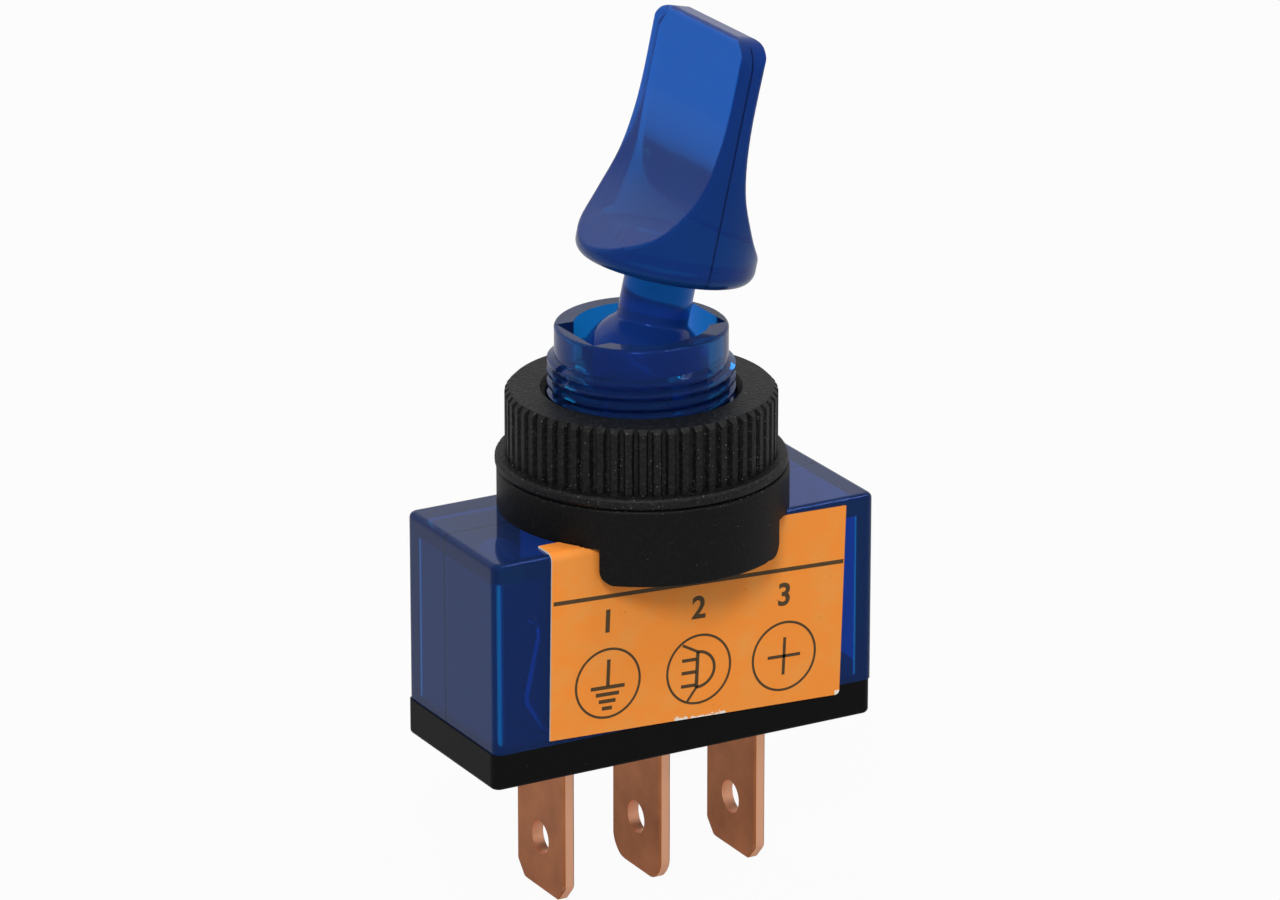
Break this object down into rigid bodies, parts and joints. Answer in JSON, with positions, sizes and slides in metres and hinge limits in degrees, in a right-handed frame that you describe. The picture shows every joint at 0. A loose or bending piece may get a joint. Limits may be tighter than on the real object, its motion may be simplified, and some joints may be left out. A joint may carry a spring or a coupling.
{
  "type": "panel toggle switch",
  "caption": "Illuminated panel toggle switch with a translucent duckbill lever, a threaded bushing with knurled nut and saddle spacer, and blade terminals.",
  "frame": {"origin": "on the threaded bushing's axis, in the plane of the housing's top face", "axes": "+Z along the bushing towards the lever, +X along the housing from the ground blade to the power blade, -Y out of the labelled front face"},
  "size_m": [0.0277, 0.0186, 0.0565],
  "materials": {
    "housing_shell": "deep blue translucent polycarbonate, glossy",
    "lever_plastic": "blue translucent polycarbonate, polished",
    "base_plastic": "black moulded plastic, satin",
    "spacer_plastic": "black moulded plastic, satin",
    "nut_plastic": "black moulded plastic, fine grain",
    "pin_steel": "bright steel rod",
    "plunger_nylon": "natural nylon",
    "spring_steel": "drawn spring wire",
    "contact_brass": "stamped brass strip",
    "contact_silver": "silver contact rivet, dull",
    "terminal_copper": "stamped copper alloy, slightly dull",
    "lamp_epoxy": "clear moulded epoxy",
    "resistor_ceramic": "painted ceramic",
    "lead_tinned": "tinned wire",
    "label_paper": "orange printed paper sticker"
  },
  "bodies": {
    "switch_body": {"housing": "housing_shell", "base": "base_plastic", "spacer_collar": "spacer_plastic", "pivot_pin": "pin_steel", "ground_terminal": "terminal_copper", "switched_terminal": "terminal_copper", "power_terminal": "terminal_copper", "power_contact_tip": "contact_silver", "led_lamp": "lamp_epoxy", "resistor": "resistor_ceramic", "led_live_lead": "lead_tinned", "led_ground_lead": "lead_tinned", "resistor_lead": "lead_tinned", "front_label": "label_paper"},
    "nut": {"panel_nut": "nut_plastic"},
    "toggle": {"lever": "lever_plastic", "plunger_spring": "spring_steel"},
    "plunger": {"plunger": "plunger_nylon"},
    "rocker": {"rocker_contact": "contact_brass", "rocker_contact_tip": "contact_silver"}
  },
  "joints": [
    {"name": "lever_tilt", "type": "hinge", "parent": "switch_body", "child": "toggle", "pos_m": [0, 0, 0.00875], "axis": [0, 1, 0], "range_deg": [-26, 0]},
    {"name": "rocker_tilt", "type": "hinge", "parent": "switch_body", "child": "rocker", "pos_m": [0, 0, -0.00575], "axis": [0, 1, 0], "range_deg": [0, 16]},
    {"name": "plunger_slide", "type": "slide", "parent": "toggle", "child": "plunger", "axis": [0.225, 0, 0.9744], "range_m": [0, 0.0008], "stiffness_N_per_m": 300, "deforming": ["plunger_spring"]},
    {"name": "nut_turn", "type": "hinge", "parent": "switch_body", "child": "nut", "pos_m": [0, 0, 0.00525], "axis": [0, 0, 1], "continuous": true}
  ],
  "couplings": [
    {"joint": "rocker_tilt", "follows": "lever_tilt", "ratio": -0.61538}
  ]
}
